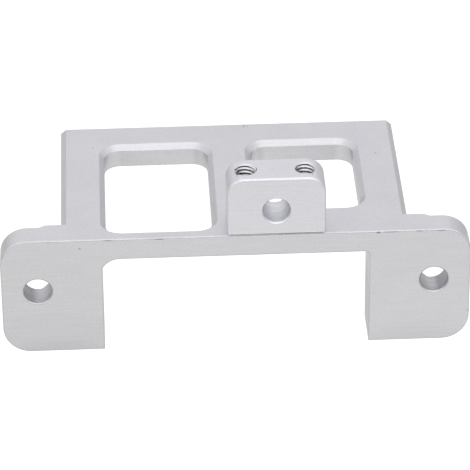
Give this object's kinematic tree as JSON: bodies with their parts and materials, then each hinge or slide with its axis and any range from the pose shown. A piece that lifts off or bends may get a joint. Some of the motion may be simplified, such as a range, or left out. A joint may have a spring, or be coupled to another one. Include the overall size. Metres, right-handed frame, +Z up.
{
  "type": "servo bracket",
  "caption": "Milled aluminium servo bracket: ears that bolt to a frame, a windowed shelf behind them, and a pivot block with a cross bore and tapped holes on the bridge.",
  "frame": {"origin": "midway between the two ear holes, on the bracket's front face", "axes": "+X along the bracket towards the pivot block's side, +Y from the front face to the back of the shelf, +Z up, from the shelf towards the pivot block"},
  "size_m": [0.0528, 0.0252, 0.0219],
  "materials": {
    "bracket_aluminium": "fine satin, silver",
    "block_aluminium": "fine satin, silver, a little lighter"
  },
  "bodies": {
    "root": {"bracket": "bracket_aluminium", "pivot_block": "block_aluminium"}
  },
  "joints": []
}
